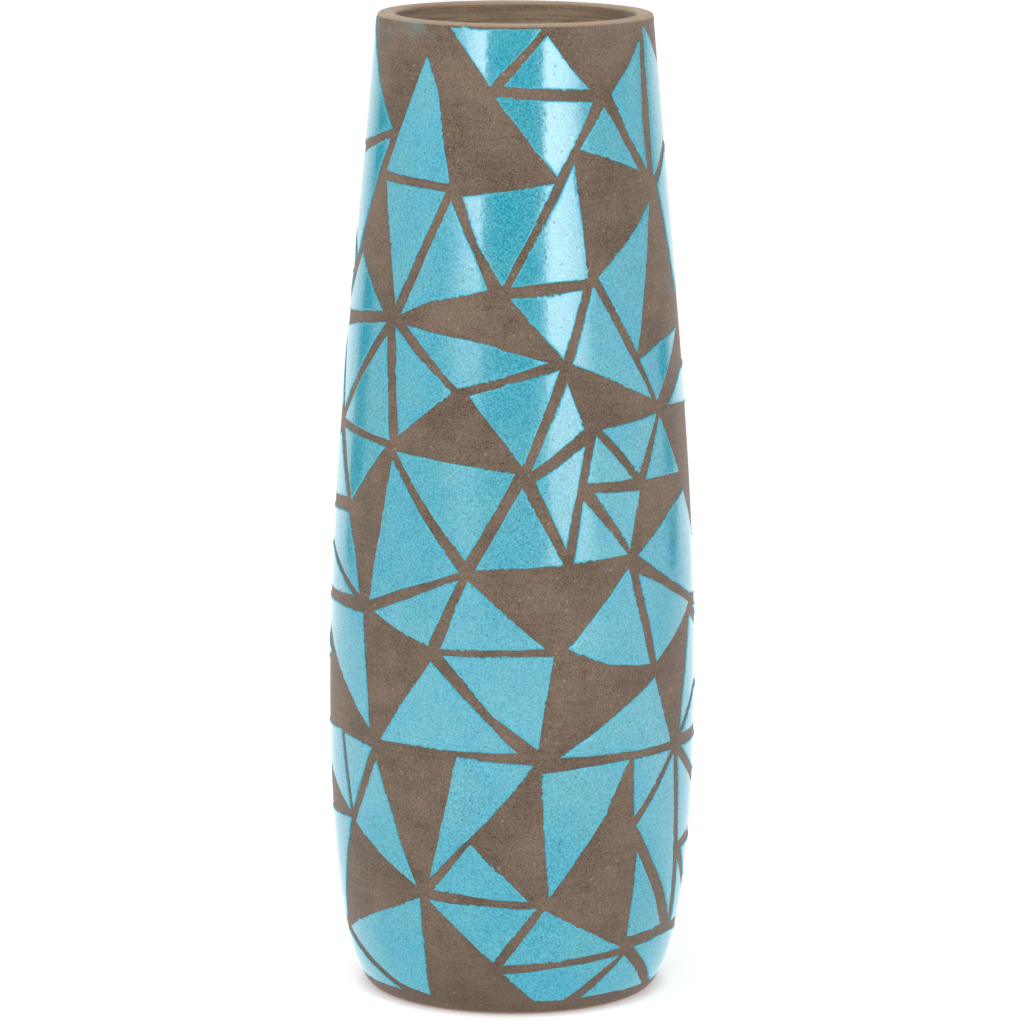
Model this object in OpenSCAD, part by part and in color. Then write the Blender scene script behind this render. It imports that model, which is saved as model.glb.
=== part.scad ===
// Tall tapered pottery vase. One thrown clay body is open at the mouth and stands on a turned
// foot ring. Fields of turquoise glaze lie on its outside as separate thin skins, parted by bare
// lines and by fields left as bare clay.
// Millimetres, +Z up, origin at the centre of the foot, on the table.
// Angles go round from the front (-Y) towards the right-hand side (+X).

/* [Clay body] */
// Height from the table to the lip
height = 480; // [440:5:520]
// Widest diameter, at the belly
belly_d = 179; // [172:1:186]
// Height of the widest place above the table
belly_z = 150; // [140:5:160]
// Outer diameter at the lip
rim_d = 133; // [128:1:138]
// Outer diameter of the ring that touches the table
foot_d = 132; // [126:1:138]
// Thickness of the wall
wall = 8.5; // [7:0.5:10]
// Thickness of the floor, with the hollow under the foot taken off
floor_t = 11; // [9:1:14]
// Length of the straight bore inside the mouth
mouth_depth = 12; // [8:1:20]
// Width of the ring that touches the table
foot_ring = 12; // [10:1:15]
// Depth of the hollow turned inside that ring
foot_hollow = 3; // [2:0.5:4]

/* [Glaze] */
// How far the glaze stands out from the clay
glaze_t = 0.5; // [0.4:0.1:0.8]
// Width of the bare lines between the glaze fields of the back
line_w = 5; // [4:0.5:6]

/* [Hidden] */
$fn = 96;

belly_r = belly_d / 2;
rim_r = rim_d / 2;
foot_r = foot_d / 2;

// Bore of the mouth, and the roundings of the lip's two edges
mouth_r = rim_r - wall;
lip_round_out = 1.5;
lip_round_in = 2;
lip_z = height - lip_round_out;
mouth_top = height - lip_round_in;
mouth_end = mouth_top - mouth_depth;

// Inside, the wall meets the floor in a round corner, and thickens into the lip over this length
corner_r = 20;
lip_blend = 16;
inner_floor = floor_t + foot_hollow;
foot_slope = 2;

// Slope of the side at the lip, against the straight line from belly to lip
rim_slope = 1.15;
// Power of the superellipse below the belly: 2 would be a plain ellipse
foot_power = 2.15;
// Steps of the side below and above the belly
foot_step = 6;
upper_steps = 18;

// The glaze outlines below are drawn for a vase of this height, and stretch with it
drawn_height = 480;
// A cutter's side turns at most this many degrees, and reaches this much past the clay
cut_step = 12;
cut_reach = 1.35;

clay_color = [0.49, 0.42, 0.37];
glaze_color = [0.36, 0.73, 0.80];

// ---- Outlines of the glaze fields: [degrees from the front, height] at each corner ----

neck_fields = [
    [[-55, 428], [-60, 435], [-82, 470], [-92, 478], [-100, 413]],
    [[-56, 423], [-106, 404], [-77, 364]],
    [[-57, 408], [-25, 405], [-32, 449], [-38, 463]],
    [[-10, 451], [11, 478], [-27, 478]],
    [[-5, 451], [31, 449], [20, 463], [13, 475]],
    [[16, 408], [32, 443], [-8, 446]],
    [[25, 421], [54, 409], [37, 440]],
    [[41, 446], [50, 425], [60, 408], [59, 436], [61, 470]],
    [[65, 405], [80, 419], [108, 428], [65, 476]],
];

shoulder_fields = [
    [[-46, 345], [-26, 401], [-56, 403]],
    [[-43, 341], [-30, 349], [-9, 355], [-15, 374], [-24, 396]],
    [[-4, 357], [15, 405], [-20, 399], [-13, 376]],
    [[-1, 357], [27, 360], [23, 415]],
    [[80, 347], [104, 420], [80, 414], [68, 400]],
    [[47, 322], [60, 393], [31, 360]],
    [[17, 322], [25, 355], [-1, 351]],
    [[20, 320], [53, 300], [29, 356]],
    [[-19, 308], [12, 321], [-10, 330], [-40, 336]],
    [[3, 272], [16, 318], [-15, 305]],
    [[56, 298], [76, 330], [60, 326], [48, 319]],
    [[63, 295], [108, 289], [94, 311], [78, 309]],
    [[-52, 341], [-71, 366], [-87, 336]],
    [[-50, 336], [-86, 329], [-77, 290]],
    [[-45, 281], [-49, 330], [-76, 285]],
    [[-41, 283], [-21, 306], [-45, 335]],
    [[-81, 362], [-108, 396], [-104, 360]],
    [[-82, 355], [-110, 354], [-94, 339]],
    [[-80, 291], [-93, 325], [-110, 288]],
];

waist_fields = [
    [[6, 270], [24, 289], [18, 312]],
    [[17, 232], [24, 281], [7, 265]],
    [[24, 263], [42, 263], [28, 286]],
    [[45, 265], [55, 292], [30, 288]],
    [[48, 262], [69, 261], [57, 290]],
    [[40, 230], [45, 257], [27, 258]],
    [[19, 225], [39, 227], [23, 255]],
    [[-15, 226], [1, 269], [-42, 276]],
    [[-12, 222], [16, 225], [3, 262]],
    [[-64, 248], [-46, 277], [-75, 281]],
    [[-67, 248], [-79, 277], [-104, 268], [-100, 245]],
    [[-51, 202], [-17, 221], [-43, 271]],
    [[-56, 203], [-60, 222], [-66, 241], [-104, 239], [-106, 228], [-84, 226]],
    [[-60, 202], [-82, 221], [-104, 219], [-100, 199]],
    [[43, 226], [60, 210], [75, 200], [108, 192], [100, 222], [83, 227], [72, 251], [60, 244]],
];

belly_fields = [
    [[-27, 184], [-17, 217], [-49, 197]],
    [[-23, 183], [10, 185], [-14, 217]],
    [[17, 184], [31, 175], [48, 172], [39, 220]],
    [[51, 173], [74, 196], [60, 205], [43, 217]],
    [[78, 193], [104, 176], [108, 188]],
    [[65, 135], [80, 155], [108, 160], [74, 190]],
    [[-50, 139], [-54, 195], [-98, 195], [-83, 184]],
    [[-78, 169], [-106, 180], [-110, 152]],
    [[-45, 135], [2, 134], [-26, 177]],
    [[8, 136], [13, 181], [-22, 180], [-6, 152]],
    [[14, 131], [59, 131], [50, 165]],
    [[67, 133], [106, 131], [104, 154], [80, 151]],
    [[66, 127], [80, 112], [90, 107], [106, 104], [104, 126]],
];

lower_fields = [
    [[-27, 70], [-7, 101], [7, 128], [-17, 131]],
    [[-26, 64], [6, 60], [-13, 88]],
    [[12, 61], [31, 102], [39, 127], [9, 124]],
    [[42, 98], [60, 127], [41, 127]],
    [[68, 39], [61, 124], [43, 93], [50, 78], [63, 51]],
    [[43, 37], [62, 38], [44, 80]],
    [[68, 78], [80, 81], [106, 79], [104, 98], [90, 100], [80, 105], [64, 123]],
    [[-60, 96], [-49, 130], [-65, 133]],
    [[-62, 95], [-67, 134], [-104, 131], [-84, 115]],
    [[-59, 90], [-32, 65], [-47, 124]],
    [[-76, 37], [-62, 91], [-104, 88], [-98, 34]],
];

foot_fields = [
    [[-74, 32], [-45, 12], [-31, 8], [-31, 59]],
    [[-44, 8], [-78, 29], [-96, 9]],
    [[-6, 29], [8, 56], [-28, 59]],
    [[-3, 27], [41, 32], [11, 55]],
    [[9, 8], [20, 8], [41, 28], [-3, 23]],
    [[27, 8], [59, 8], [43, 27]],
    [[47, 31], [65, 8], [102, 9], [98, 28], [70, 32]],
    [[72, 74], [80, 57], [106, 52], [104, 76]],
    [[72, 37], [98, 34], [82, 48], [69, 69]],
];

// ---- The back: rows of knots, 5 and 6 by turns, where the bare lines meet ----

back_knots = [
    [[112, 475], [143, 470], [178, 476], [212, 469], [247, 475]],
    [[116, 432], [134, 424], [166, 438], [199, 421], [229, 434], [244, 428]],
    [[104, 378], [149, 392], [181, 378], [215, 390], [246, 384]],
    [[99, 338], [131, 333], [164, 344], [196, 331], [230, 342], [245, 333]],
    [[112, 297], [147, 290], [183, 301], [211, 288], [243, 297]],
    [[110, 250], [135, 259], [162, 244], [200, 255], [228, 243], [249, 254]],
    [[114, 206], [150, 198], [179, 210], [216, 199], [251, 209]],
    [[115, 174], [133, 157], [167, 170], [198, 155], [231, 167], [246, 160]],
    [[112, 116], [145, 120], [182, 108], [213, 121], [250, 113]],
    [[112, 62], [136, 71], [163, 58], [201, 68], [229, 60], [251, 66]],
    [[109, 12], [149, 9], [178, 13], [214, 9], [245, 12]],
];

// Of the triangles between two rows, counted from the right of the vase, these stay bare clay
back_bare = [[1, 6], [3, 8], [0, 5], [2, 7], [4], [1, 6], [3, 8], [0, 5], [2, 7], [4, 8]];

// ---- The side of the vase ----

function upper_radius(z) =
    let (t = (z - belly_z) / (height - belly_z))
    belly_r - (belly_r - rim_r) * ((3 - rim_slope) * t ^ 2 + (rim_slope - 2) * t ^ 3);

function lower_radius(z) =
    let (drop = (belly_z - z) / belly_z)
    foot_r + (belly_r - foot_r) * (1 - drop ^ foot_power) ^ (1 / foot_power);

function radius(z) = z < belly_z ? lower_radius(z) : upper_radius(z);

// Heights at which the side turns, from the table to the start of the lip
stations = concat(
    [for (u = [90 : -foot_step : foot_step]) belly_z * (1 - sin(u) ^ (2 / foot_power))],
    [for (i = [0 : upper_steps]) belly_z + i * (lip_z - belly_z) / upper_steps]
);
station_gap = (lip_z - belly_z) / upper_steps;

function arc(centre, r, from, to, steps) =
    [for (i = [0 : steps]) let (a = from + (to - from) * i / steps) centre + r * [cos(a), sin(a)]];

// ---- Glaze outlines ----

function turn(p, q) = p[0] * q[1] - p[1] * q[0];
function total(v, i = 0) = i < len(v) ? v[i] + total(v, i + 1) : 0;
function centre_of(outline) = [for (k = [0, 1]) total([for (p = outline) p[k]]) / len(outline)];
function next(v, i) = v[(i + 1) % len(v)];
function signed_area(v) = total([for (i = [0 : len(v) - 1]) turn(v[i], next(v, i))]) / 2;
function reversed(v) = [for (i = [len(v) - 1 : -1 : 0]) v[i]];
function anticlockwise(v) = signed_area(v) < 0 ? reversed(v) : v;

// One corner of a triangle, moved in until it is half a line's width from both of its sides
function inset_corner(p, q, s) =
    let (along = (q - p) / norm(q - p), across = (s - p) / norm(s - p))
    p + (along + across) * line_w / 2 / abs(turn(along, across));

// A triangle of knots, drawn in by half a line's width, worked out on the flattened side
function inset(knots) =
    let (
        mm = radius(centre_of(knots)[1] * height / drawn_height) * PI / 180,
        flat = [for (p = knots) [p[0] * mm, p[1]]]
    )
    [for (i = [0 : 2])
        let (p = inset_corner(flat[i], flat[(i + 1) % 3], flat[(i + 2) % 3]))
        [p[0] / mm, p[1]]];

// Triangles between a row of 5 knots and a row of 6, from one side of the back to the other
function strip(short, long) =
    [for (i = [0 : 2 * len(short) - 2])
        let (k = floor(i / 2))
        i % 2 == 0 ? [long[k], long[k + 1], short[k]] : [short[k], short[k + 1], long[k + 1]]];

function back_strip(row) =
    len(back_knots[row]) < len(back_knots[row + 1])
        ? strip(back_knots[row], back_knots[row + 1])
        : strip(back_knots[row + 1], back_knots[row]);

back_fields = [
    for (row = [0 : len(back_knots) - 2])
        let (triangles = back_strip(row))
        for (i = [0 : len(triangles) - 1])
            if (len(search(i, back_bare[row])) == 0)
                inset(triangles[i])
];

all_fields = concat(
    neck_fields, shoulder_fields, waist_fields, belly_fields, lower_fields, foot_fields, back_fields
);

// ---- Sub-parts: the glaze is grouped by eight sides of the vase and six levels ----

sides = ["front", "front_right", "right", "back_right", "back", "back_left", "left", "front_left"];
levels = ["foot", "lower", "belly", "waist", "shoulder", "neck"];
// Drawn heights at which each level above the foot begins
level_starts = [60, 125, 225, 320, 400];
side_turn = 360 / len(sides);

function side_of(outline) = (round(centre_of(outline)[0] / side_turn) + len(sides)) % len(sides);
function level_of(outline) = len([for (z = level_starts) if (centre_of(outline)[1] >= z) z]);
function group_name(outline) =
    str(sides[side_of(outline)], "_", levels[level_of(outline)], "_glaze");

glaze_names = [
    for (level = levels)
        for (side = sides)
            let (name = str(side, "_", level, "_glaze"))
            if (len([for (field = all_fields) if (group_name(field) == name) 1]) > 0)
                name
];

// The thrown body: outer side, rounded lip, bore of the mouth, inner wall, floor and foot ring
module clay_body() {
    inner_stations = [for (z = stations) if (z > inner_floor + corner_r && z < mouth_end - lip_blend) z];
    corner_at = [radius(inner_stations[0]) - wall - corner_r, inner_floor + corner_r];
    hollow_r = foot_r - foot_ring;
    color(clay_color)
        rotate_extrude()
            polygon(concat(
                [for (z = stations) [radius(z), z]],
                arc([radius(lip_z) - lip_round_out, lip_z], lip_round_out, 15, 90, 5),
                arc([mouth_r + lip_round_in, mouth_top], lip_round_in, 90, 180, 6),
                [[mouth_r, mouth_end]],
                [for (z = reversed(inner_stations)) [radius(z) - wall, z]],
                arc(corner_at, corner_r, 0, -90, 8),
                [[0, inner_floor], [0, foot_hollow], [hollow_r - foot_slope, foot_hollow], [hollow_r, 0]]
            ));
}

// The whole side of the vase between two heights, as a skin of glaze
module glaze_skin(low, high) {
    band = [for (z = stations) if (z > low - station_gap && z < high + station_gap) z];
    rotate_extrude()
        polygon(concat(
            [for (z = band) [radius(z), z]],
            [for (z = reversed(band)) [radius(z) + glaze_t, z]]
        ));
}

// A pyramid from the axis out through an outline on the side of the vase
module outline_cutter(outline) {
    corners = anticlockwise(outline);
    rim = [
        for (i = [0 : len(corners) - 1])
            let (p = corners[i], q = next(corners, i), cuts = ceil(abs(q[0] - p[0]) / cut_step))
            for (k = [0 : max(cuts, 1) - 1])
                p + (q - p) * k / max(cuts, 1)
    ];
    centre = centre_of(corners);
    apex = [0, 0, centre[1]];
    reach = [
        for (p = concat(rim, [centre]))
            apex + ([radius(p[1]) * sin(p[0]), -radius(p[1]) * cos(p[0]), p[1]] - apex) * cut_reach
    ];
    n = len(rim);
    polyhedron(
        points = concat([apex], reach),
        faces = concat(
            [for (i = [0 : n - 1]) [0, 1 + i, 1 + (i + 1) % n]],
            [for (i = [0 : n - 1]) [n + 1, 1 + (i + 1) % n, 1 + i]]
        )
    );
}

// One field of glaze: the part of the skin inside its outline
module glaze_field(outline) {
    stretched = [for (p = outline) [p[0], p[1] * height / drawn_height]];
    heights = [for (p = stretched) p[1]];
    intersection() {
        glaze_skin(min(heights), max(heights));
        outline_cutter(stretched);
    }
}

// All the glaze fields of one side and level
module glaze_group(name) {
    color(glaze_color)
        for (field = all_fields)
            if (group_name(field) == name)
                glaze_field(field);
}

clay_body();
for (name = glaze_names)
    glaze_group(name);
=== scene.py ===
import math

import bpy
import numpy as np
from mathutils import Matrix, Vector


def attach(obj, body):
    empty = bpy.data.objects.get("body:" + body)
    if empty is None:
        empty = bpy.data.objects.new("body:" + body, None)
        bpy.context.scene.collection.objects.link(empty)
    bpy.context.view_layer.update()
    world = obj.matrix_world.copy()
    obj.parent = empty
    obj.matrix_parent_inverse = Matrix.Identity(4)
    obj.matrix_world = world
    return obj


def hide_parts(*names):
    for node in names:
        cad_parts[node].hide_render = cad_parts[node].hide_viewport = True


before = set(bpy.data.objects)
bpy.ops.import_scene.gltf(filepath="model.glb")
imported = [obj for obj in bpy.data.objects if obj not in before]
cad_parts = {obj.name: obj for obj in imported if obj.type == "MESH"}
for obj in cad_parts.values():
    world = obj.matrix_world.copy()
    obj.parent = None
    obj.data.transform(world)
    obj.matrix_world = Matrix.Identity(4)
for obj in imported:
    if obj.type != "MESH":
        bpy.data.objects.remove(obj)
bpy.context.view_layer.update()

MM = 0.001

# ---- Clay body ----
# One pot thrown on a wheel from brown clay: a wide belly that draws in slowly to a thick flat lip,
# and a foot ring turned out of the base. The outside is scraped smooth and fired without glaze, and
# the inside keeps the ridges that the thrower's fingers left.
RIM_SLOPE = 1.15
FOOT_POWER = 2.15
LIP_ROUND_OUT = 1.5 * MM
LIP_ROUND_IN = 2.0 * MM
RIDGE_PITCH = 6.5 * MM
RIDGE_DEPTH = 0.35 * MM
FLOOR_CORNER = 20 * MM
MOUTH_BLEND = 16 * MM
HOLLOW_CORNER = 1.5 * MM
HOLLOW_LEAN = 1.0 * MM
FOOT_BEAD = 0.6 * MM
AROUND = 336


def mesh_points(node):
    """All the corners of a CAD node's mesh, as rows of x, y, z in metres."""
    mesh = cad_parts[node].data
    points = np.empty(len(mesh.vertices) * 3)
    mesh.vertices.foreach_get("co", points)
    return points.reshape(-1, 3)


clay_points = mesh_points("clay_body")
clay_r = np.hypot(clay_points[:, 0], clay_points[:, 1])
clay_z = clay_points[:, 2]
HEIGHT = clay_z.max()
BELLY_R = clay_r.max()
BELLY_Z = clay_z[clay_r > BELLY_R - 0.001 * MM].mean()
FOOT_R = clay_r[clay_z < 0.01 * MM].max()
HOLLOW_R = clay_r[clay_z < 0.01 * MM].min()
HOLLOW_TOP = clay_z[clay_r.argmin()]
FLOOR_TOP = clay_z[(clay_r < HOLLOW_R) & (clay_z > HOLLOW_TOP + MM)].min()
LIP_Z = HEIGHT - LIP_ROUND_OUT
lip_share = (LIP_Z - BELLY_Z) / (HEIGHT - BELLY_Z)
lip_r = clay_r[clay_z > LIP_Z - 0.01 * MM].max()
RIM_R = BELLY_R - (BELLY_R - lip_r) / ((3 - RIM_SLOPE) * lip_share**2 + (RIM_SLOPE - 2) * lip_share**3)
MOUTH_R = clay_r[clay_z > HEIGHT - 10 * MM].min()
MOUTH_END = clay_z[(clay_r < MOUTH_R + 0.01 * MM) & (clay_z > HEIGHT / 2)].min()
WALL = RIM_R - MOUTH_R


def side_radius(z):
    """Outer radius at height z. Below the belly it is a superellipse from the foot to the belly;
    above, the belly's radius less a cubic that starts level and ends at the rim's own slope."""
    drop = np.clip((BELLY_Z - z) / BELLY_Z, 0, 1)
    below = FOOT_R + (BELLY_R - FOOT_R) * (1 - drop**FOOT_POWER) ** (1 / FOOT_POWER)
    share = (z - BELLY_Z) / (HEIGHT - BELLY_Z)
    above = BELLY_R - (BELLY_R - RIM_R) * ((3 - RIM_SLOPE) * share**2 + (RIM_SLOPE - 2) * share**3)
    return np.where(z < BELLY_Z, below, above)


def arc(centre_r, centre_z, radius, start, end, count):
    """Points of a circle's arc in the plane of the profile, from one angle in degrees to another."""
    turn = np.radians(np.linspace(start, end, count))
    return np.column_stack([centre_r + radius * np.cos(turn), centre_z + radius * np.sin(turn)])


def clay_profile():
    """The pot's outline from the centre of the underside, out and up the side, over the lip, and down
    the inside to the centre of the floor: straight runs, joined by arcs where the clay is rounded.
    Returns radius, height, and how far each point is inside and on the lip, from 0 to 1."""
    corner_z = FLOOR_TOP + FLOOR_CORNER
    corner_r = side_radius(corner_z) - WALL - FLOOR_CORNER
    hollow_r = HOLLOW_R - HOLLOW_LEAN - HOLLOW_CORNER
    rise = np.radians(np.linspace(90, 0, 54)[1:])
    low_z = BELLY_Z * (1 - np.sin(rise) ** (2 / FOOT_POWER))
    side_z = np.concatenate([low_z, np.linspace(BELLY_Z, LIP_Z, 72)[1:]])
    inner_z = np.linspace(MOUTH_END, corner_z, 92)[1:-1]
    blend = np.clip((MOUTH_END - inner_z) / MOUTH_BLEND, 0, 1)
    inner_r = MOUTH_R + (side_radius(inner_z) - WALL - MOUTH_R) * blend
    parts = [
        [[0, HOLLOW_TOP]],
        [[share * hollow_r, HOLLOW_TOP] for share in (0.34, 0.67, 1)],
        arc(hollow_r, HOLLOW_TOP - HOLLOW_CORNER, HOLLOW_CORNER, 70, 0, 4),
        arc(HOLLOW_R + FOOT_BEAD, FOOT_BEAD, FOOT_BEAD, 180, 270, 5),
        [[FOOT_R - 2 * MM, 0], [FOOT_R, 0]],
        np.column_stack([side_radius(side_z), side_z]),
        arc(side_radius(LIP_Z) - LIP_ROUND_OUT, LIP_Z, LIP_ROUND_OUT, 12, 90, 8),
        arc(MOUTH_R + LIP_ROUND_IN, HEIGHT - LIP_ROUND_IN, LIP_ROUND_IN, 90, 180, 8),
        [[MOUTH_R, MOUTH_END]],
        np.column_stack([inner_r, inner_z]),
        arc(corner_r, corner_z, FLOOR_CORNER, 0, -90, 14),
        [[share * corner_r, FLOOR_TOP] for share in (0.75, 0.5, 0.25)],
        [[0, FLOOR_TOP]],
    ]
    inside = [0, 0, 0, 0, 0, 0, 0, 0.5, 1, 1, 1, 1, 1]
    lip = [0, 0, 0, 0, 0, 0, 1, 1, 0.6, 0, 0, 0, 0]
    counts = [len(part) for part in parts]
    points = np.concatenate([np.asarray(part, float) for part in parts])
    return points[:, 0], points[:, 1], np.repeat(inside, counts), np.repeat(lip, counts)


def lathe(name, radii, heights):
    """A closed surface turned about the Z axis. radii and heights are grids with a row for each point
    of the profile and a column for each step round; the first and last rows are single points."""
    rows, columns = radii.shape
    turn = np.arange(columns) * 2 * math.pi / columns
    grid = np.stack([radii * np.sin(turn), -radii * np.cos(turn), heights], axis=-1)
    points = np.concatenate([grid[:1, 0], grid[1:-1].reshape(-1, 3), grid[-1:, 0]])
    ring = np.arange(columns)
    after = (ring + 1) % columns
    base = 1 + columns * np.arange(rows - 3)[:, None]
    sides = np.stack([base + ring, base + after, base + columns + after, base + columns + ring], axis=-1)
    last = 1 + columns * (rows - 3)
    start_fan = np.column_stack([np.zeros_like(ring), 1 + after, 1 + ring])
    end_fan = np.column_stack([last + ring, last + after, np.full_like(ring, len(points) - 1)])
    faces = sides.reshape(-1, 4).tolist() + start_fan.tolist() + end_fan.tolist()
    mesh = bpy.data.meshes.new(name)
    mesh.from_pydata(points.tolist(), [], faces)
    mesh.shade_smooth()
    return mesh


def paint(mesh, name, values):
    """Stores one number for each point of the mesh under that name, for its material to read."""
    layer = mesh.attributes.new(name, "FLOAT", "POINT")
    layer.data.foreach_set("value", np.ascontiguousarray(values, dtype=np.float32))


def set_piece(name, mesh, slot, material, *nodes):
    """Makes the mesh a piece of the pot: gives it its material and puts it in place of its CAD nodes."""
    piece = bpy.data.objects.new(name, mesh)
    bpy.context.scene.collection.objects.link(piece)
    mesh.materials.append(material)
    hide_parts(*nodes)
    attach(piece, "root")


def srgb(red, green, blue):
    """A colour given as 0 to 255 display values, as linear values with full alpha."""
    shown = np.array([red, green, blue]) / 255
    linear = np.where(shown <= 0.04045, shown / 12.92, ((shown + 0.055) / 1.055) ** 2.4)
    return (*linear.tolist(), 1.0)


class Nodes:
    """A node tree being filled: add() makes a node, sets its properties and values, and links what is
    given as a socket."""

    def __init__(self, tree):
        self.tree = tree

    def add(self, kind, inputs=None, **properties):
        node = self.tree.nodes.new(kind)
        for key, value in properties.items():
            setattr(node, key, value)
        for key, value in (inputs or {}).items():
            if isinstance(value, bpy.types.NodeSocket):
                self.tree.links.new(value, node.inputs[key])
            else:
                node.inputs[key].default_value = value
        return node

    def math(self, operation, first, second):
        return self.add("ShaderNodeMath", {0: first, 1: second}, operation=operation).outputs[0]

    def mix(self, share, first, second):
        """The first colour, with that share of the second."""
        return self.add("ShaderNodeMix", {0: share, 6: first, 7: second}, data_type="RGBA").outputs[2]

    def ramp(self, value, low, high, to_low=0.0, to_high=1.0):
        """A smooth step of the value, from to_low at low to to_high at high."""
        values = {"Value": value, "From Min": low, "From Max": high, "To Min": to_low, "To Max": to_high}
        return self.add("ShaderNodeMapRange", values, interpolation_type="SMOOTHSTEP").outputs[0]

    def noise(self, place, scale, detail=2.0, roughness=0.5):
        """Noise of about one cloud to every 1 / scale metres."""
        values = {"Vector": place, "Scale": scale, "Detail": detail, "Roughness": roughness}
        return self.add("ShaderNodeTexNoise", values).outputs["Fac"]


def make_fired_grain():
    """Group for any fired surface. Clouds is broad noise, Specks is fine noise drawn to its extremes,
    and Pits is 1 in a few small round spots, one in some of the cells of a Voronoi pattern."""
    group = bpy.data.node_groups.new("fired_grain", "ShaderNodeTree")
    group.interface.new_socket("Place", in_out="INPUT", socket_type="NodeSocketVector")
    for name in ("Cloud Scale", "Speck Scale", "Pit Scale"):
        group.interface.new_socket(name, in_out="INPUT", socket_type="NodeSocketFloat")
    for name in ("Clouds", "Specks", "Pits"):
        group.interface.new_socket(name, in_out="OUTPUT", socket_type="NodeSocketFloat")
    nodes = Nodes(group)
    given = nodes.add("NodeGroupInput").outputs
    clouds = nodes.noise(given["Place"], given["Cloud Scale"], detail=4.0, roughness=0.6)
    specks = nodes.noise(given["Place"], given["Speck Scale"], detail=2.0, roughness=0.7)
    cells = nodes.add("ShaderNodeTexVoronoi", {"Vector": given["Place"], "Scale": given["Pit Scale"]})
    near = nodes.ramp(cells.outputs["Distance"], 0.20, 0.08)
    lot = nodes.add("ShaderNodeSeparateColor", {0: cells.outputs["Color"]}).outputs[0]
    chosen = nodes.math("GREATER_THAN", lot, 0.68)
    nodes.add("NodeGroupOutput", {
        "Clouds": nodes.ramp(clouds, 0.32, 0.68),
        "Specks": nodes.ramp(specks, 0.36, 0.64),
        "Pits": nodes.math("MULTIPLY", near, chosen),
    })
    return group


fired_grain = make_fired_grain()


def start_material(name):
    """A new material with an empty Principled shader: returns the material, its nodes and the shader."""
    material = bpy.data.materials.new(name)
    material.use_nodes = True
    material.node_tree.nodes.clear()
    nodes = Nodes(material.node_tree)
    shader = nodes.add("ShaderNodeBsdfPrincipled")
    nodes.add("ShaderNodeOutputMaterial", {"Surface": shader.outputs[0]})
    return material, nodes, shader


def make_bare_clay():
    """Brown clay, clouded and finely speckled, with faint streaks left round the pot by scraping. It is
    darker towards the foot, as painted shade where the side turns under, has a reddish line where the foot
    meets the table, is tan on the lip and inside, where the finger ridges catch paler slip, and has a few
    smears of glaze under the lip."""
    material, nodes, shader = start_material("bare_clay")
    place = nodes.add("ShaderNodeTexCoord").outputs["Object"]
    height = nodes.add("ShaderNodeSeparateXYZ", {0: place}).outputs["Z"]
    grain = nodes.add("ShaderNodeGroup", node_tree=fired_grain)
    nodes.tree.links.new(place, grain.inputs["Place"])
    grain.inputs["Cloud Scale"].default_value = 34
    grain.inputs["Speck Scale"].default_value = 1500
    grain.inputs["Pit Scale"].default_value = 230
    streak_place = nodes.add("ShaderNodeMapping", {0: place, 3: (26, 26, 520)}).outputs[0]
    streaks = nodes.noise(streak_place, 1.0, detail=3.0, roughness=0.6)
    inside = nodes.add("ShaderNodeAttribute", attribute_name="inside").outputs["Fac"]
    lip = nodes.add("ShaderNodeAttribute", attribute_name="lip").outputs["Fac"]

    brown = nodes.mix(grain.outputs["Clouds"], srgb(82, 68, 56), srgb(128, 109, 93))
    flecks = nodes.mix(grain.outputs["Specks"], srgb(50, 39, 30), srgb(164, 143, 126))
    body = nodes.mix(0.40, brown, flecks)
    body = nodes.mix(nodes.ramp(streaks, 0.45, 0.75, 0.0, 0.35), body, srgb(136, 117, 101))
    # Painted shade: the clay is darkened over the lowest 50 mm, where the side turns under towards the
    # foot.
    body = nodes.mix(nodes.ramp(height, 50 * MM, 10 * MM, 0, 0.45), body, srgb(96, 80, 69))
    body = nodes.mix(nodes.ramp(height, 2.2 * MM, 1.0 * MM, 0, 0.7), body, srgb(172, 128, 106))
    tan = nodes.mix(nodes.ramp(streaks, 0.40, 0.60), srgb(180, 154, 124), srgb(225, 199, 169))
    top = nodes.ramp(height, HEIGHT - 1.8 * MM, HEIGHT - 0.4 * MM, 0.1, 0.8)
    body = nodes.mix(nodes.math("MULTIPLY", lip, top), body, srgb(190, 164, 140))
    tan = nodes.mix(0.40, tan, flecks)
    body = nodes.mix(inside, body, tan)
    smear_band = nodes.ramp(height, HEIGHT - 12 * MM, HEIGHT - 2 * MM)
    smear = nodes.math("MULTIPLY", smear_band, nodes.ramp(nodes.noise(place, 60, 3.0), 0.56, 0.70, 0, 0.3))
    smear = nodes.math("MULTIPLY", smear, nodes.math("SUBTRACT", 1.0, inside))
    body = nodes.mix(smear, body, srgb(120, 170, 176))
    body = nodes.mix(nodes.math("MULTIPLY", grain.outputs["Pits"], 0.35), body, srgb(190, 172, 155))
    nodes.tree.links.new(body, shader.inputs["Base Color"])
    nodes.tree.links.new(nodes.ramp(grain.outputs["Clouds"], 0, 1, 0.52, 0.68), shader.inputs["Roughness"])
    shader.inputs["Specular IOR Level"].default_value = 0.10
    shader.inputs["Sheen Weight"].default_value = 0.08

    relief = nodes.math("ADD", nodes.math("MULTIPLY", grain.outputs["Specks"], 0.5), streaks)
    relief = nodes.math("SUBTRACT", relief, grain.outputs["Pits"])
    bump = nodes.add("ShaderNodeBump", {"Height": relief, "Strength": 0.35, "Distance": 0.1 * MM})
    nodes.tree.links.new(bump.outputs[0], shader.inputs["Normal"])
    return material


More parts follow.
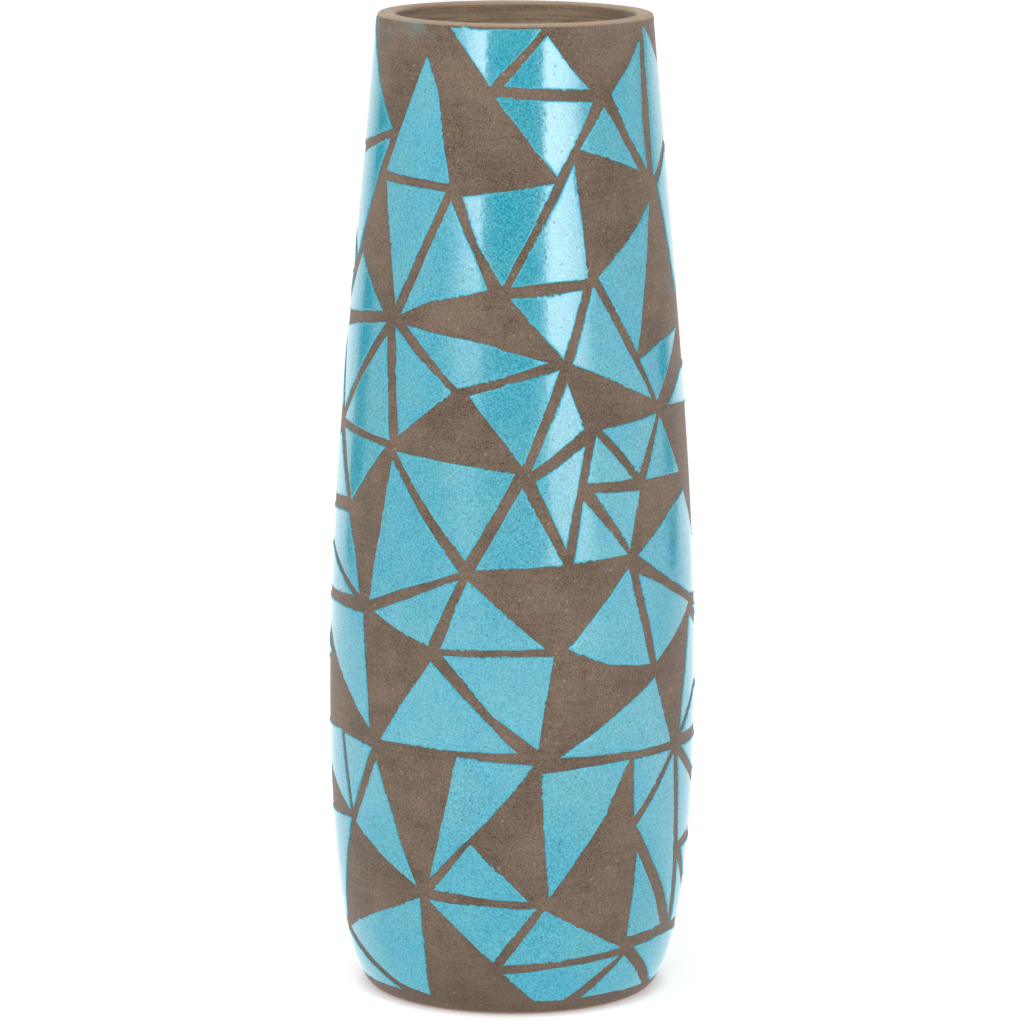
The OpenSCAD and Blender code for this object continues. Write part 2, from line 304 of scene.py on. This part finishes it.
clay_radius, clay_height, clay_inside, clay_lip = clay_profile()
turns = np.arange(AROUND) / AROUND
ridges = np.sin(2 * math.pi * (clay_height[:, None] / RIDGE_PITCH + turns)) ** 3
ridged = (clay_inside == 1) & (clay_height < MOUTH_END - 2 * MM) & (clay_height > FLOOR_TOP + 12 * MM)
radius_grid = clay_radius[:, None] - RIDGE_DEPTH * ridges * ridged[:, None]
height_grid = np.repeat(clay_height[:, None], AROUND, axis=1)
clay_mesh = lathe("thrown_clay_body", radius_grid, height_grid)
for zone, amount in (("inside", clay_inside), ("lip", clay_lip)):
    around = np.repeat(amount[1:-1], AROUND)
    paint(clay_mesh, zone, np.concatenate([amount[:1], around, amount[-1:]]))
set_piece("thrown_clay_body", clay_mesh, "bare_clay", make_bare_clay(), "clay_body")

# ---- Glaze fields ----
# Turquoise glaze brushed and dipped over tape: when the tape came off, each field was left as a thin
# glassy skin with a rounded edge, straight where the tape held and ragged where the glaze crept
# under it. Every field keeps the outline of its CAD solid.
GLAZE = 0.5 * MM
EDGE_STEP = 0.9 * MM
EDGE_ROUND = 0.5 * MM
EDGE_FADE = 1.3 * MM
EDGE_TUCK = 0.03 * MM
BLOT_EVERY = 75 * MM
CALMING_STEPS = 20
MIDDLE_TRIES = 900
EDGE_RINGS = np.array([0, 0.07, 0.17, 0.33, 0.6, 1.3]) * MM
INNER_RINGS = np.linspace(0, 1, 9)[1:-1]
UNDER_RINGS = np.linspace(0, 1, 5)[:-1]
SUNK = 0.25 * MM


def field_outlines(node):
    """The outlines of a glaze node's fields, from its mesh. A triangle is on the outside if all its
    corners stand out from the clay, and the edges that only one such triangle has make the outlines.
    Each outline is rows of distance round the pot and height, anticlockwise from outside, with the
    radius that the distances were measured at."""
    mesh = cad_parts[node].data
    corners = np.empty(len(mesh.loop_triangles) * 3, dtype=int)
    mesh.loop_triangles.foreach_get("vertices", corners)
    points, joined = np.unique(np.round(mesh_points(node), 6), axis=0, return_inverse=True)
    triangles = joined.reshape(-1)[corners].reshape(-1, 3)
    proud = np.hypot(points[:, 0], points[:, 1]) - side_radius(points[:, 2])
    outside = triangles[(proud[triangles] > GLAZE / 2).all(axis=1)]
    edges = {(a, b) for tri in outside.tolist() for a, b in zip(tri, tri[1:] + tri[:1])}
    follow = {a: b for a, b in edges if (b, a) not in edges}
    outlines = []
    while follow:
        at = min(follow)
        chain = []
        while at in follow:
            chain.append(at)
            at = follow.pop(at)
        loop = points[chain]
        angle = np.unwrap(np.arctan2(loop[:, 0], -loop[:, 1]))
        radius = float(side_radius(loop[:, 2].mean()))
        outlines.append((np.column_stack([angle * radius, loop[:, 2]]), radius))
    return outlines


def closed(points):
    """The points with the first one again at the end."""
    return np.concatenate([points, points[:1]])


def even_outline(points):
    """The same closed outline with evenly spaced points, and the distance along it at each."""
    ring = closed(points)
    along = np.concatenate([[0], np.cumsum(np.hypot(*np.diff(ring, axis=0).T))])
    count = max(24, int(round(along[-1] / EDGE_STEP)))
    stops = np.arange(count) * along[-1] / count
    return np.column_stack([np.interp(stops, along, ring[:, k]) for k in (0, 1)]), stops, along[-1]


def wander(stops, length, waves, rng):
    """A smooth random line along a closed outline: a sum of cosines that each fit it a whole number of
    times, given as pairs of wavelength and height."""
    line = np.zeros_like(stops)
    for wavelength, height in waves:
        times = max(1, round(length / wavelength))
        line += height * np.cos(2 * math.pi * (times * stops / length + rng.random()))
    return line


def swept(points, middle):
    """Twice the area that each step of the outline sweeps, as seen from the middle."""
    spoke = points - middle
    after = np.roll(spoke, -1, axis=0)
    return spoke[:, 0] * after[:, 1] - spoke[:, 1] * after[:, 0]


def ragged_outline(points, stops, length, middle, rng):
    """Moves each point of the outline across it: a slight bow everywhere, fine teeth on the stretches
    where the glaze crept, and a few rounded blots. Then, in steps, it lowers the moves that would
    make the outline turn back as seen from the middle, which happens in the thin corners."""
    ahead = np.roll(points, -1, axis=0) - np.roll(points, 1, axis=0)
    out = np.column_stack([ahead[:, 1], -ahead[:, 0]]) / np.hypot(*ahead.T)[:, None]
    bow = wander(stops, length, [(70 * MM, 0.22 * MM), (31 * MM, 0.14 * MM), (14 * MM, 0.08 * MM)], rng)
    waves = [(7.1 * MM, 0.15 * MM), (4.3 * MM, 0.19 * MM), (2.9 * MM, 0.20 * MM), (2.0 * MM, 0.16 * MM)]
    teeth = wander(stops, length, waves, rng)
    crept = np.clip(0.30 + wander(stops, length, [(63 * MM, 0.7), (37 * MM, 0.6)], rng), 0.04, 1.5)
    blots = np.zeros_like(stops)
    for _ in range(rng.poisson(length / BLOT_EVERY)):
        apart = np.abs(stops - rng.random() * length)
        apart = np.minimum(apart, length - apart)
        blots += rng.uniform(0.3, 0.8) * MM * np.exp(-(apart / (rng.uniform(0.9, 1.9) * MM)) ** 2)
    move = out * (bow + teeth * crept + blots)[:, None]
    smooth_sweep = swept(points, middle)
    for _ in range(CALMING_STEPS):
        backward = swept(points + move, middle) < 0.35 * smooth_sweep
        move[backward | np.roll(backward, 1)] *= 0.7
    return points + move


def middle_of(points, rng):
    """A point from which the whole outline can be seen: of many points tried, the one furthest inside
    every side, taking each side as a line that goes on past its ends."""
    sides = closed(points)[1:] - points
    inward = np.column_stack([-sides[:, 1], sides[:, 0]]) / np.hypot(*sides.T)[:, None]
    tries = rng.uniform(points.min(axis=0), points.max(axis=0), (MIDDLE_TRIES, 2))
    depth = ((tries[:, None] - points[None]) * inward[None]).sum(axis=-1).min(axis=1)
    return tries[depth.argmax()]


def way_to(points, outline):
    """From each point, the way to the nearest point of the closed outline, and its length."""
    start = outline[None]
    side = (closed(outline)[1:] - outline)[None]
    share = ((points[:, None] - start) * side).sum(axis=-1) / (side**2).sum(axis=-1)
    ways = start + side * np.clip(share, 0, 1)[..., None] - points[:, None]
    lengths = np.sqrt((ways**2).sum(axis=-1))
    nearest = lengths.argmin(axis=1)
    row = np.arange(len(points))
    return ways[row, nearest], lengths[row, nearest]


def side_frame(angle, z):
    """Three unit vectors at each point of the pot's side: round it, up its slope, and straight out.
    The slope is taken over a millimetre of height."""
    slope = (side_radius(z + MM / 2) - side_radius(z - MM / 2)) / MM
    level = np.stack([np.sin(angle), -np.cos(angle), np.zeros_like(angle)], axis=-1)
    around = np.stack([np.cos(angle), np.sin(angle), np.zeros_like(angle)], axis=-1)
    steep = np.sqrt(1 + slope**2)[..., None]
    rise = np.array([0.0, 0.0, 1.0])
    return around, (level * slope[..., None] + rise) / steep, (level - rise * slope[..., None]) / steep


def field_surface(outline, middle, radius):
    """One glaze field as a closed skin. Rings of points run from the outline to the middle, first at
    set distances and then at even shares; each stands out by a quarter circle of its distance from
    the edge, up to the full thickness, and leans out with it. Fewer rings, sunk in the clay, close it
    underneath. Returns points, quads, fans, nearness to the edge from 0 to 1, and normals."""
    count = len(outline)
    inward = middle - outline
    reach = np.hypot(*inward.T)
    near = np.minimum(EDGE_RINGS[:, None] / reach, 0.9)
    far = near[-1] + (1 - near[-1]) * INNER_RINGS[:, None]
    shares = np.concatenate([near, far])
    top = outline + inward * shares[..., None]
    flat = top.reshape(-1, 2)
    way, gap = way_to(flat, outline)
    gap[:count] = 0
    within = np.clip(gap / EDGE_ROUND, 0, 1)
    lean = 1 - within
    stand = GLAZE * np.sqrt(1 - lean**2)
    stand[:count] = -EDGE_TUCK
    under = (outline + inward * UNDER_RINGS[:, None, None]).reshape(-1, 2)
    flat = np.concatenate([flat, middle[None], under, middle[None]])
    stand = np.concatenate([stand, [GLAZE], np.full(len(under) + 1, -SUNK)])
    rim = np.concatenate([1 - np.clip(gap / EDGE_FADE, 0, 1), [0], np.zeros(len(under) + 1)])
    angle = flat[:, 0] / radius
    out = side_radius(flat[:, 1]) + stand
    points = np.column_stack([out * np.sin(angle), -out * np.cos(angle), flat[:, 1]])

    around, up, level = side_frame(angle, flat[:, 1])
    edge_way = np.zeros_like(flat)
    edge_way[:len(way)] = way / np.maximum(gap, 0.001 * MM)[:, None]
    edge_way[:count] = edge_way[count:2 * count]
    tilt = np.zeros(len(flat))
    tilt[:len(lean)] = lean
    normals = level * np.sqrt(1 - 0.96 * tilt**2)[:, None]
    normals += (around * edge_way[:, :1] + up * edge_way[:, 1:]) * (tilt * 0.98)[:, None]
    normals[-len(under) - 1:] *= -1

    ring = np.arange(count)
    after = (ring + 1) % count
    rings = len(shares)
    centre = rings * count
    first_under = centre + 1
    bottom = len(points) - 1

    def band(lower, upper):
        return np.column_stack([lower + ring, lower + after, upper + after, upper + ring])

    quads = [band(k * count, (k + 1) * count) for k in range(rings - 1)]
    quads += [band(first_under, 0)]
    unders = first_under + count * np.arange(len(UNDER_RINGS))
    quads += [band(lower, upper) for upper, lower in zip(unders, unders[1:])]
    last_top = (rings - 1) * count
    top_fan = np.column_stack([last_top + ring, last_top + after, np.full(count, centre)])
    low_fan = np.column_stack([unders[-1] + after, unders[-1] + ring, np.full(count, bottom)])
    return points, np.concatenate(quads), np.concatenate([top_fan, low_fan]), rim, normals


def make_turquoise_glaze():
    """Glossy turquoise glaze, mottled by the millimetre between pale and deep, broken by a few dark
    pinholes, thinner and duller along its edges, and slightly dimpled like orange peel."""
    material, nodes, shader = start_material("turquoise_glaze")
    place = nodes.add("ShaderNodeTexCoord").outputs["Object"]
    grain = nodes.add("ShaderNodeGroup", node_tree=fired_grain)
    nodes.tree.links.new(place, grain.inputs["Place"])
    grain.inputs["Cloud Scale"].default_value = 38
    grain.inputs["Speck Scale"].default_value = 1050
    grain.inputs["Pit Scale"].default_value = 260
    rim = nodes.add("ShaderNodeAttribute", attribute_name="rim").outputs["Fac"]
    pour = nodes.add("ShaderNodeAttribute", attribute_name="pour").outputs["Fac"]

    mottle = nodes.mix(grain.outputs["Specks"], srgb(0, 122, 147), srgb(92, 199, 218))
    cloud = nodes.mix(grain.outputs["Clouds"], srgb(88, 177, 186), srgb(4, 160, 190))
    colour = nodes.mix(0.42, mottle, cloud)
    colour = nodes.mix(nodes.math("MULTIPLY", pour, 0.16), colour, srgb(70, 180, 205))
    colour = nodes.mix(nodes.math("MULTIPLY", rim, 0.20), colour, srgb(70, 140, 150))
    colour = nodes.mix(nodes.math("MULTIPLY", grain.outputs["Pits"], 0.65), colour, srgb(30, 66, 76))
    nodes.tree.links.new(colour, shader.inputs["Base Color"])
    roughness = nodes.ramp(grain.outputs["Specks"], 0, 1, 0.07, 0.11)
    roughness = nodes.math("ADD", roughness, nodes.math("MULTIPLY", rim, 0.45))
    nodes.tree.links.new(roughness, shader.inputs["Roughness"])
    shader.inputs["IOR"].default_value = 1.5

    peel = nodes.noise(place, 420, detail=2.0, roughness=0.5)
    peel = nodes.math("ADD", peel, nodes.math("MULTIPLY", nodes.noise(place, 110, detail=1.0), 1.2))
    peel = nodes.math("SUBTRACT", peel, nodes.math("MULTIPLY", grain.outputs["Pits"], 0.8))
    bump = nodes.add("ShaderNodeBump", {"Height": peel, "Strength": 0.5, "Distance": 0.12 * MM})
    nodes.tree.links.new(bump.outputs[0], shader.inputs["Normal"])
    return material


turquoise_glaze = make_turquoise_glaze()
glaze_nodes = sorted(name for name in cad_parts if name.endswith("_glaze"))
for seed, node in enumerate(glaze_nodes):
    rng = np.random.default_rng(1000 + seed)
    all_points, all_quads, all_fans, all_rims, all_normals, all_pours = [], [], [], [], [], []
    for outline, radius in field_outlines(node):
        outline, stops, length = even_outline(outline)
        middle = middle_of(outline, rng)
        outline = ragged_outline(outline, stops, length, middle, rng)
        points, quads, fans, rim, normals = field_surface(outline, middle, radius)
        start = sum(len(part) for part in all_points)
        all_points.append(points)
        all_quads.append(quads + start)
        all_fans.append(fans + start)
        all_rims.append(rim)
        all_normals.append(normals)
        all_pours.append(np.full(len(points), rng.random()))
    mesh = bpy.data.meshes.new(node)
    faces = np.concatenate(all_quads).tolist() + np.concatenate(all_fans).tolist()
    mesh.from_pydata(np.concatenate(all_points).tolist(), [], faces)
    mesh.shade_smooth()
    mesh.normals_split_custom_set_from_vertices(np.concatenate(all_normals).tolist())
    paint(mesh, "rim", np.concatenate(all_rims))
    paint(mesh, "pour", np.concatenate(all_pours))
    set_piece("skin_of_" + node, mesh, "turquoise_glaze", turquoise_glaze, node)

# ---- Table and backdrop ----
# A plain white table that runs into a white surround, with nothing on it but the pot.
FLOOR_HALF = 6.0
FLOOR_GLOW = 0.58
# Painted contact shadow: the floor glows less close round the foot, rising to its full glow over the reach
# below.
PAINTED_SHADOW_GLOW = 0.28
PAINTED_SHADOW_REACH = 14 * MM


def make_floor():
    """A square white floor, wide enough to fill every view of the pot. It glows a little so that it
    stays white, and less close round the foot, as a painted contact shadow. In glossy rays it glows more,
    away from the pot and towards the front, as a painted reflection of lit floor in the glaze."""
    corners = [(x * FLOOR_HALF, y * FLOOR_HALF, 0) for x, y in ((-1, -1), (1, -1), (1, 1), (-1, 1))]
    mesh = bpy.data.meshes.new("floor")
    mesh.from_pydata(corners, [], [(0, 1, 2, 3)])
    floor = bpy.data.objects.new("floor", mesh)
    bpy.context.scene.collection.objects.link(floor)
    material, nodes, shader = start_material("white_floor")
    place = nodes.add("ShaderNodeTexCoord").outputs["Object"]
    tone = nodes.mix(nodes.noise(place, 3.0), (0.86, 0.86, 0.86, 1), (0.90, 0.90, 0.90, 1))
    nodes.tree.links.new(tone, shader.inputs["Base Color"])
    nodes.tree.links.new(tone, shader.inputs["Emission Color"])
    away = nodes.add("ShaderNodeVectorMath", {0: place}, operation="LENGTH").outputs["Value"]
    # Painted reflection: in glossy rays only, the floor glows more away from the pot and towards the
    # front, to show in the glaze as lit floor.
    glossy = nodes.add("ShaderNodeLightPath").outputs["Is Glossy Ray"]
    painted_floor_reflection = nodes.math("MULTIPLY", glossy, nodes.ramp(away, 0.15, 0.65, 0.7, 2.1))
    depth = nodes.add("ShaderNodeSeparateXYZ", {0: place}).outputs["Y"]
    painted_floor_reflection = nodes.math("MULTIPLY", painted_floor_reflection, nodes.ramp(depth, -0.2, 0.4, 1.0, 0.3))
    # Painted contact shadow: less glow close round the foot.
    painted_contact_shadow = nodes.ramp(away, FOOT_R - 1 * MM, FOOT_R + PAINTED_SHADOW_REACH, PAINTED_SHADOW_GLOW, FLOOR_GLOW)
    nodes.tree.links.new(nodes.math("ADD", painted_floor_reflection, painted_contact_shadow), shader.inputs["Emission Strength"])
    shader.inputs["Roughness"].default_value = 1.0
    shader.inputs["Specular IOR Level"].default_value = 0.0
    mesh.materials.append(material)


make_floor()

# ---- Studio light ----
# A screen stands round the pot and shows in the glaze as upright bands: two tall soft boxes in front,
# brightest at their tops, paler walls, and dark gaps where they end. Only the glaze sees it. The pot
# itself is lit by a white surround and by a big soft light overhead.
SCREEN_R = 1.5
SCREEN_TOP = 1.7
SCREEN_HEIGHTS = [0.15, 0.28, 0.38, 0.54]
# Direction in degrees from the front towards the right, then the glow at each of those heights
SCREEN_GLOW = np.array([
    [-180, 1.0, 1.0, 0.9, 1.0],
    [-147, 1.8, 1.6, 1.4, 1.8],
    [-133, 1.7, 1.2, 0.9, 1.9],
    [-127, 0.2, 0.1, 0.0, 0.2],
    [-117, 0.1, 0.1, 0.0, 0.1],
    [-110, 1.2, 1.7, 1.5, 1.6],
    [-68, 2.1, 2.2, 2.2, 2.8],
    [-52, 1.8, 1.6, 1.5, 2.0],
    [-43, 2.4, 2.7, 2.8, 4.6],
    [-35, 3.0, 3.6, 4.6, 10.4],
    [-24, 2.9, 3.6, 5.2, 13.0],
    [-21, 2.5, 2.0, 2.2, 1.6],
    [-12, 1.8, 0.8, 0.4, 0.2],
    [13, 2.1, 1.3, 0.8, 0.1],
    [21, 3.0, 3.2, 3.4, 1.4],
    [24, 6.4, 8.0, 11.5, 13.4],
    [37, 7.0, 8.2, 10.6, 12.6],
    [47, 6.4, 7.4, 8.4, 8.8],
    [55, 3.4, 3.2, 2.8, 1.6],
    [88, 3.1, 2.4, 2.3, 1.6],
    [111, 1.8, 1.6, 1.6, 1.6],
    [119, 0.3, 0.1, 0.1, 0.6],
    [125, 0.4, 0.1, 0.1, 0.6],
    [133, 1.9, 1.4, 1.4, 1.4],
    [147, 1.9, 1.6, 1.6, 1.6],
    [180, 1.0, 1.0, 0.9, 1.0],
])


def make_screen():
    """The screen, as a tube round the pot's axis. Its glow at each point is read between the given
    directions first and then between the given heights, and is stored on the mesh."""
    directions = np.arange(-180, 181, 1.5)
    levels = np.linspace(0, SCREEN_TOP, 41)
    columns = [np.interp(directions, SCREEN_GLOW[:, 0], SCREEN_GLOW[:, k + 1]) for k in range(4)]
    glow = np.array([np.interp(levels, SCREEN_HEIGHTS, column) for column in np.array(columns).T])
    turn, z = np.meshgrid(np.radians(directions), levels, indexing="ij")
    points = np.stack([SCREEN_R * np.sin(turn), -SCREEN_R * np.cos(turn), z], axis=-1).reshape(-1, 3)
    corner = (np.arange(len(directions) - 1)[:, None] * len(levels) + np.arange(len(levels) - 1)).ravel()
    faces = np.column_stack([corner, corner + 1, corner + 1 + len(levels), corner + len(levels)])
    mesh = bpy.data.meshes.new("studio_screen")
    mesh.from_pydata(points.tolist(), [], faces.tolist())
    paint(mesh, "glow", glow.ravel())
    material = bpy.data.materials.new("screen_glow")
    material.use_nodes = True
    material.node_tree.nodes.clear()
    nodes = Nodes(material.node_tree)
    strength = nodes.add("ShaderNodeAttribute", attribute_name="glow").outputs["Fac"]
    light = nodes.add("ShaderNodeEmission", {"Strength": strength})
    nodes.add("ShaderNodeOutputMaterial", {"Surface": light.outputs[0]})
    material.cycles.emission_sampling = "NONE"
    mesh.materials.append(material)
    screen = bpy.data.objects.new("studio_screen", mesh)
    screen.visible_camera = False
    screen.visible_diffuse = False
    screen.visible_shadow = False
    bpy.context.scene.collection.objects.link(screen)


make_screen()

OVERHEAD_PLACE = Vector((-0.25, -1.0, 2.1))
OVERHEAD_AIM = Vector((0, 0, 0.25))
overhead = bpy.data.lights.new("overhead", "AREA")
overhead.size = 1.8
overhead.energy = 15
overhead_lamp = bpy.data.objects.new("overhead", overhead)
overhead_lamp.location = OVERHEAD_PLACE
overhead_lamp.rotation_euler = (OVERHEAD_AIM - OVERHEAD_PLACE).to_track_quat("-Z", "Y").to_euler()
overhead_lamp.visible_camera = False
overhead_lamp.visible_glossy = False
bpy.context.scene.collection.objects.link(overhead_lamp)

# The surround is white to look at and to light by, and dim in the glaze above the screen.
world = bpy.data.worlds.new("surround")
bpy.context.scene.world = world
world.use_nodes = True
world.node_tree.nodes.clear()
sky = Nodes(world.node_tree)
path = sky.add("ShaderNodeLightPath").outputs
glow = sky.mix(path["Is Glossy Ray"], (0.62, 0.62, 0.62, 1), (0.05, 0.05, 0.05, 1))
glow = sky.mix(path["Is Camera Ray"], glow, (1.1, 1.1, 1.1, 1))
surround = sky.add("ShaderNodeBackground", {"Color": glow})
sky.add("ShaderNodeOutputWorld", {"Surface": surround.outputs[0]})
bpy.context.scene.view_settings.view_transform = "Standard"

# ---- Camera ----
# A long lens looks at the front of the pot from a little above its lip, tipped down and rolled a
# touch, as on a stand that isn't quite level.
LOOK_DOWN = math.radians(10.08)
ROLL = math.radians(0.29)
CAMERA_SIDE = -0.0005
CAMERA_BACK = 2.7917
CAMERA_ABOVE_LIP = 0.2515
camera_data = bpy.data.cameras.new("camera")
camera_data.lens = 203.67
camera_data.sensor_width = 36
camera_data.clip_end = 50
camera = bpy.data.objects.new("camera", camera_data)
turned = Matrix.Rotation(math.pi / 2 - LOOK_DOWN, 4, "X") @ Matrix.Rotation(ROLL, 4, "Z")
place = Matrix.Translation((CAMERA_SIDE, -CAMERA_BACK, HEIGHT + CAMERA_ABOVE_LIP))
camera.matrix_world = place @ turned
bpy.context.scene.collection.objects.link(camera)
bpy.context.scene.camera = camera
